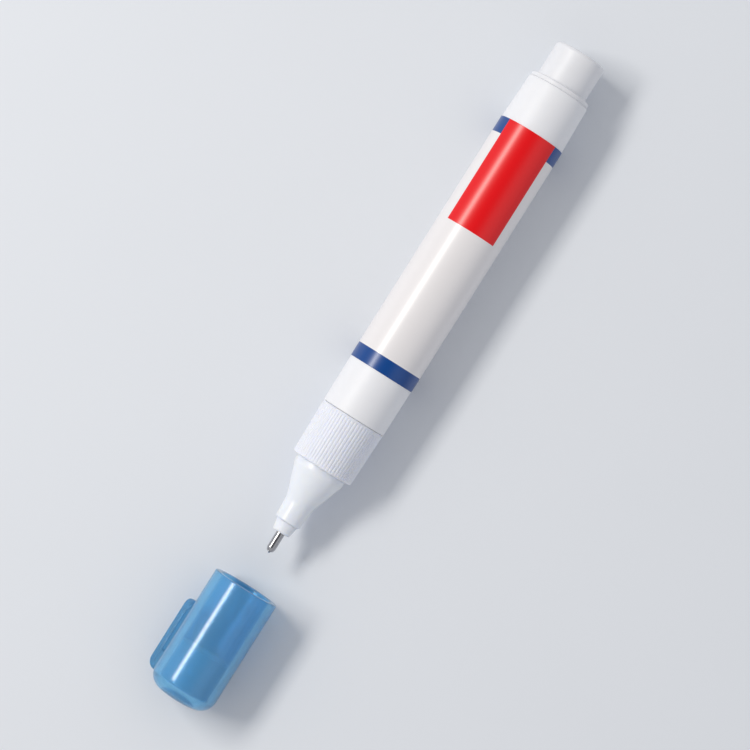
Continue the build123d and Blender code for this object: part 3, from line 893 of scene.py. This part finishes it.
def wire_coil_tree():
    """Geometry Nodes that wind a wire into a coil along the X axis."""
    kinds = {
        "Turns": "Float",
        "Steps per turn": "Int",
        "Coil radius": "Float",
        "Coil length": "Float",
        "Wire radius": "Float",
        "Wire sides": "Int",
        "Start": "Vector",
        "Material": "Material",
    }
    tree, sockets, given = new_tree("wire_coil", kinds, "Coil")
    inputs = {
        "Resolution": given["Steps per turn"],
        "Rotations": given["Turns"],
        "Start Radius": given["Coil radius"],
        "End Radius": given["Coil radius"],
        "Height": given["Coil length"],
    }
    line = add_node(tree, "GeometryNodeCurveSpiral", inputs)
    inputs = {"Resolution": given["Wire sides"], "Radius": given["Wire radius"]}
    section = add_node(tree, "GeometryNodeCurvePrimitiveCircle", inputs)
    inputs = {"Curve": line.outputs[0], "Profile Curve": section.outputs[0], "Fill Caps": True}
    wire = add_node(tree, "GeometryNodeCurveToMesh", inputs)
    inputs = {"Geometry": wire.outputs[0], "Translation": given["Start"], "Rotation": (0, pi / 2, 0)}
    laid = add_node(tree, "GeometryNodeTransform", inputs)
    real = add_node(tree, "GeometryNodeRealizeInstances", {"Geometry": laid.outputs[0]})
    finish_tree(tree, real.outputs[0], given["Material"])
    return tree, sockets


class CORRECTION_PEN_OT_spring(Operator):
    """Wind the valve spring, which shortens when the needle is pressed"""

    bl_idname = "correction_pen.spring"
    bl_label = "Valve spring"

    def execute(self, context):
        nozzle = context.scene.correction_pen.nozzle
        wire_radius = nozzle.spring_wire / 2
        length = SPRING_HIGH.x - SPRING_LOW.x
        steel = worked_metal("drawn_stainless_wire", nozzle.wire, roughness=0.25, mark_spacing=0.1 * MM)
        tree, sockets = wire_coil_tree()
        values = {
            "Turns": nozzle.spring_turns,
            "Steps per turn": 48,
            "Coil radius": (SPRING_HIGH.z - SPRING_LOW.z) / 2 - wire_radius,
            "Coil length": length - nozzle.spring_wire,
            "Wire radius": wire_radius,
            "Wire sides": 14,
            "Start": (SPRING_LOW.x + wire_radius, AXIS_Y, AXIS_Z),
            "Material": steel,
        }
        mesh = grown(bpy.data.meshes.new("coil_start"), tree, sockets, values, "wire_spring")
        spring = set_piece("wire_spring", mesh, steel, "pen_body", "valve_spring")
        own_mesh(spring)
        return {"FINISHED"}


def clip_shape(cap):
    """The pocket clip: rounded sections lofted along the pen, turned until an edge meets the floor."""
    inner = LABEL_RADIUS + cap.clip_gap
    outer = inner + cap.clip_thickness
    root = LABEL_RADIUS - cap.clip_root_depth
    start = CAP_LOW.x + cap.clip_setback
    tip = start + cap.clip_length
    root_end = start + cap.clip_root_length
    nub_start = tip - cap.clip_nub_length
    bend = cap.clip_root_rounding
    throat = cap.clip_throat_rounding
    blunting = cap.clip_tip_blunting
    edge = cap.clip_edge_rounding

    def top(x):
        """How far out the strap's outer face lies."""
        return outer - arc_dip(bend, start + bend - x) - arc_dip(blunting, x - tip + blunting)

    def under(x):
        """How far out the strap's inner face lies."""
        if x <= root_end:
            return root
        share = min(max((x - nub_start) / cap.clip_nub_length, 0), 1)
        nub = cap.clip_nub_height * sin(pi * share) ** 2
        return inner - arc_dip(throat, root_end + throat - x) - nub

    def half_width(x):
        """Half the strap's width."""
        return cap.clip_width / 2 - arc_dip(cap.clip_tip_rounding, x - tip + cap.clip_tip_rounding)

    # Places along the pen: bend, root, throat, free strap, nub and blunted tip
    quarter = quarter_turn(BEND_STEPS)
    places = [start + bend * (1 - cos(turn)) for turn in quarter]
    places += [(start + bend + root_end) / 2]
    stations = [(x, under(x)) for x in places] + [(root_end, root), (root_end, inner - throat)]
    places = [root_end + throat * (1 - cos(turn)) for turn in quarter[1:]]
    free = nub_start - root_end - throat
    places += [root_end + throat + free * step / STRAP_STEPS for step in range(1, STRAP_STEPS)]
    nub_places = [nub_start + cap.clip_nub_length * step / NUB_STEPS for step in range(NUB_STEPS)]
    places += [x for x in nub_places if x < tip - blunting]
    places += [tip - blunting * (1 - sin(turn)) for turn in quarter[2::2]]
    stations += [(x, under(x)) for x in places]

    edge_out = outer - edge
    edge_side = cap.clip_width / 2 - edge
    edge_turn = acos((LABEL_RADIUS - edge) / hypot(edge_out, edge_side))
    clip_turn = atan2(edge_side, edge_out) + edge_turn
    outward = Vector((0, sin(clip_turn), -cos(clip_turn)))
    sideways = Vector((0, cos(clip_turn), sin(clip_turn)))

    shape = bmesh.new()
    rings = []
    for x, low in stations:
        high, half = top(x), half_width(x)
        middle = Vector((x, AXIS_Y, AXIS_Z))
        ring = []
        for side, way, level, rounding in (
            (1, 1, high, edge),
            (-1, 1, high, edge),
            (-1, -1, low, cap.clip_under_rounding),
            (1, -1, low, cap.clip_under_rounding),
        ):
            turns = quarter_turn(EDGE_STEPS)
            if side * way < 0:
                turns.reverse()
            for turn in turns:
                across = side * (half - rounding + rounding * cos(turn))
                out = level - way * (rounding - rounding * sin(turn))
                ring.append(shape.verts.new(middle + outward * out + sideways * across))
        rings.append(ring)
    for first, second in zip(rings, rings[1:]):
        bridge(shape, first, second)
    shape.faces.new(rings[0])
    shape.faces.new(rings[-1])
    return closed_mesh(shape, "pocket_clip")


class CORRECTION_PEN_OT_cap(Operator):
    """Mould the see-through cap with its pocket clip, and the inner cap that shuts the tip"""

    bl_idname = "correction_pen.cap"
    bl_label = "Cap and inner cap"

    def execute(self, context):
        cap = context.scene.correction_pen.cap
        end, mouth = CAP_LOW.x, CAP_HIGH.x
        bottom = end + cap.end_wall
        crown_radius = (LABEL_RADIUS**2 + cap.end_crown**2) / (2 * cap.end_crown)
        crown_reach = LABEL_RADIUS - cap.end_rounding
        crown = [crown_reach * step / CROWN_STEPS for step in range(CROWN_STEPS)]
        wall_start = end + cap.end_crown + cap.end_rounding
        wall_length = mouth - 2 * cap.mouth_rounding - wall_start
        wall = [wall_start + wall_length * step / WALL_STEPS for step in range(1, WALL_STEPS)]
        corners = [
            *((end + arc_dip(crown_radius, r), r, 0) for r in crown),
            (end + cap.end_crown, LABEL_RADIUS, cap.end_rounding),
            *((x, LABEL_RADIUS, 0) for x in wall),
            (mouth, LABEL_RADIUS, cap.mouth_rounding),
            (mouth, cap.bore_radius, cap.lead_in),
            (bottom + cap.inner_chamfer, cap.bore_radius, cap.chamfer_rounding),
            (bottom, cap.bore_radius - cap.inner_chamfer, cap.chamfer_rounding),
            (bottom, 0, 0),
        ]
        shell = add_object("cap_shell", turned(corners, "cap_shell"))
        clip = add_object("cap_clip", clip_shape(cap))
        union = shell.modifiers.new("clip", "BOOLEAN")
        union.operation = "UNION"
        union.solver = "MANIFOLD"
        union.object = clip
        mesh = evaluated_mesh(shell, "clip_cap")
        bpy.data.objects.remove(clip)
        blue = tinted_polypropylene("polished_blue_polypropylene", cap.blue)
        set_piece("clip_cap", mesh, blue, "cap_set", "cap")

        front, rear = INNER_HIGH.x, INNER_LOW.x
        skirt = (INNER_HIGH.z - INNER_LOW.z) / 2
        skirt_inside = skirt - cap.inner_wall
        skirt_floor = front - cap.inner_wall
        socket_outside = cap.socket_radius + cap.socket_wall
        socket_end = front - cap.socket_depth
        socket_foot, socket_mouth, socket_back = 0.1 * MM, 0.2 * MM, 0.3 * MM
        front_edge, rim_edge, floor_foot = 0.3 * MM, 0.15 * MM, 0.2 * MM
        corners = [
            (socket_end, 0, 0),
            (socket_end, cap.socket_radius, socket_foot),
            (front, cap.socket_radius, socket_mouth),
            (front, skirt, front_edge),
            (rear, skirt, rim_edge),
            (rear, skirt_inside, rim_edge),
            (skirt_floor, skirt_inside, floor_foot),
            (skirt_floor, socket_outside, floor_foot),
            (socket_end - cap.socket_wall, socket_outside, socket_back),
            (socket_end - cap.socket_wall, 0, 0),
        ]
        mesh = turned(corners, "cap_insert")
        natural = moulded_polyethylene("soft_natural_polyethylene", cap.inner_natural, roughness=0.45)
        set_piece("cap_insert", mesh, natural, "cap_set", "inner_cap")
        return {"FINISHED"}


class CORRECTION_PEN_OT_inside(Operator):
    """Dress the pieces inside the pen, whose shapes come from the frame"""

    bl_idname = "correction_pen.inside"
    bl_label = "Pieces inside"

    def execute(self, context):
        inside = context.scene.correction_pen.inside
        rubber = soft_rubber("moulded_nitrile_rubber", inside.washer)
        acetal = moulded_polyethylene("moulded_natural_acetal", inside.retainer, roughness=0.35)
        steel = worked_metal("polished_ball_steel", inside.ball, roughness=0.12, mark_spacing=0.3 * MM)
        finishes = {"neck_washer": rubber, "spring_retainer": acetal, "mixing_ball": steel}
        for node, material in finishes.items():
            for slot in frame["nodes"][node].material_slots:
                slot.material = material
        return {"FINISHED"}


class CORRECTION_PEN_OT_stage(Operator):
    """Set the floor, the light and the camera"""

    bl_idname = "correction_pen.stage"
    bl_label = "Stage"

    def execute(self, context):
        scene = context.scene
        stage = scene.correction_pen.stage
        scene.view_settings.view_transform = "Standard"

        # Plain coated board: even, matt, with hardly any tooth
        board, tree, place = new_material("matt_coated_board")
        inputs = {
            "Base Color": drift(tree, place, stage.floor_tone, shade=0.985, spacing=30 * MM),
            "Roughness": 0.7,
            "Normal": grain(tree, place, spacing=1.5 * MM, height=0.01 * MM, strength=0.2),
        }
        shape = bmesh.new()
        bmesh.ops.create_grid(shape, x_segments=1, y_segments=1, size=stage.floor_reach)
        floor = add_object("floor", new_mesh(shape, "floor"))
        floor.data.materials.append(finish_material(board, inputs))

        # A soft sky: greyer at the rim, pale above it and shaded straight over the pen
        world = bpy.data.worlds.new("soft_sky")
        world.use_nodes = True
        tree = world.node_tree
        tree.nodes.clear()
        way = add_node(tree, "ShaderNodeTexCoord").outputs["Generated"]
        rise = add_node(tree, "ShaderNodeSeparateXYZ", {0: way}).outputs["Z"]
        sky = add_node(tree, "ShaderNodeValToRGB", {0: rise})
        stops = {
            0: stage.sky_rim,
            SKY_TOP_FROM: stage.sky_top,
            SKY_TOP_TO: stage.sky_top,
            SKY_HOLE: stage.sky_hole,
        }
        marks = sky.color_ramp.elements
        for stop, (level, tone) in enumerate(stops.items()):
            mark = marks[stop] if stop < len(marks) else marks.new(level)
            mark.position = level
            mark.color = tone
        inputs = {"Color": sky.outputs[0], "Strength": stage.sky_level}
        light = add_node(tree, "ShaderNodeBackground", inputs)
        add_node(tree, "ShaderNodeOutputWorld", {"Surface": light.outputs[0]})
        scene.world = world

        # A long soft lamp beside the pen lays one gloss line along the lit side
        lamp = bpy.data.lights.new("key_softbox", "AREA")
        lamp.shape = "RECTANGLE"
        lamp.size = stage.key_length
        lamp.size_y = stage.key_width
        lamp.energy = stage.key_power
        lamp.color = stage.key_tone[:3]
        key = add_object("key_softbox", lamp)
        side, height = cos(stage.key_height), sin(stage.key_height)
        key.location = (0, AXIS_Y + stage.key_distance * side, AXIS_Z + stage.key_distance * height)
        key.rotation_euler = (stage.key_height - pi / 2, 0, 0)

        # The camera looks straight down, turned until the pen leans as it does in the photograph
        picture = bpy.data.cameras.new("camera")
        picture.lens = picture.sensor_width * stage.view_distance / stage.view_width
        camera = add_object("camera", picture)
        turn = Matrix.Rotation(-stage.tail_lean, 4, "Z")
        camera.matrix_world = Matrix.Translation((0, 0, AXIS_Z + stage.view_distance)) @ turn
        scene.camera = camera
        return {"FINISHED"}


class CORRECTION_PEN_PT_panel(Panel):
    """Lists the pieces of the pen and their settings"""

    bl_idname = "CORRECTION_PEN_PT_panel"
    bl_label = "Correction pen"
    bl_space_type = "VIEW_3D"
    bl_region_type = "UI"
    bl_category = "Correction pen"

    def draw(self, context):
        settings = context.scene.correction_pen
        for step in STEPS:
            self.layout.operator(step.bl_idname, text=step.bl_label)
        for group in settings.bl_rna.properties:
            if group.type == "POINTER" and group.identifier != "rna_type":
                box = self.layout.box()
                box.label(text=group.identifier.capitalize())
                values = getattr(settings, group.identifier)
                for value in values.bl_rna.properties:
                    if not value.is_readonly and value.identifier != "name":
                        box.prop(values, value.identifier)


STEPS = (
    CORRECTION_PEN_OT_barrel,
    CORRECTION_PEN_OT_tail_plug,
    CORRECTION_PEN_OT_label,
    CORRECTION_PEN_OT_collar,
    CORRECTION_PEN_OT_nozzle,
    CORRECTION_PEN_OT_tip,
    CORRECTION_PEN_OT_spring,
    CORRECTION_PEN_OT_cap,
    CORRECTION_PEN_OT_inside,
    CORRECTION_PEN_OT_stage,
)
CLASSES = (
    BarrelSettings,
    LabelSettings,
    CollarSettings,
    NozzleSettings,
    CapSettings,
    InsideSettings,
    StageSettings,
    CorrectionPenSettings,
    *STEPS,
    CORRECTION_PEN_PT_panel,
)


def register():
    """Register the classes and hang the settings on the scene."""
    for each in CLASSES:
        bpy.utils.register_class(each)
    bpy.types.Scene.correction_pen = PointerProperty(type=CorrectionPenSettings)


def unregister():
    """Take the settings off the scene and unregister the classes."""
    del bpy.types.Scene.correction_pen
    for each in reversed(CLASSES):
        bpy.utils.unregister_class(each)


def main():
    """Build every piece in order."""
    register()
    for step in STEPS:
        group, name = step.bl_idname.split(".")
        getattr(getattr(bpy.ops, group), name)()


if __name__ == "__main__":
    main()
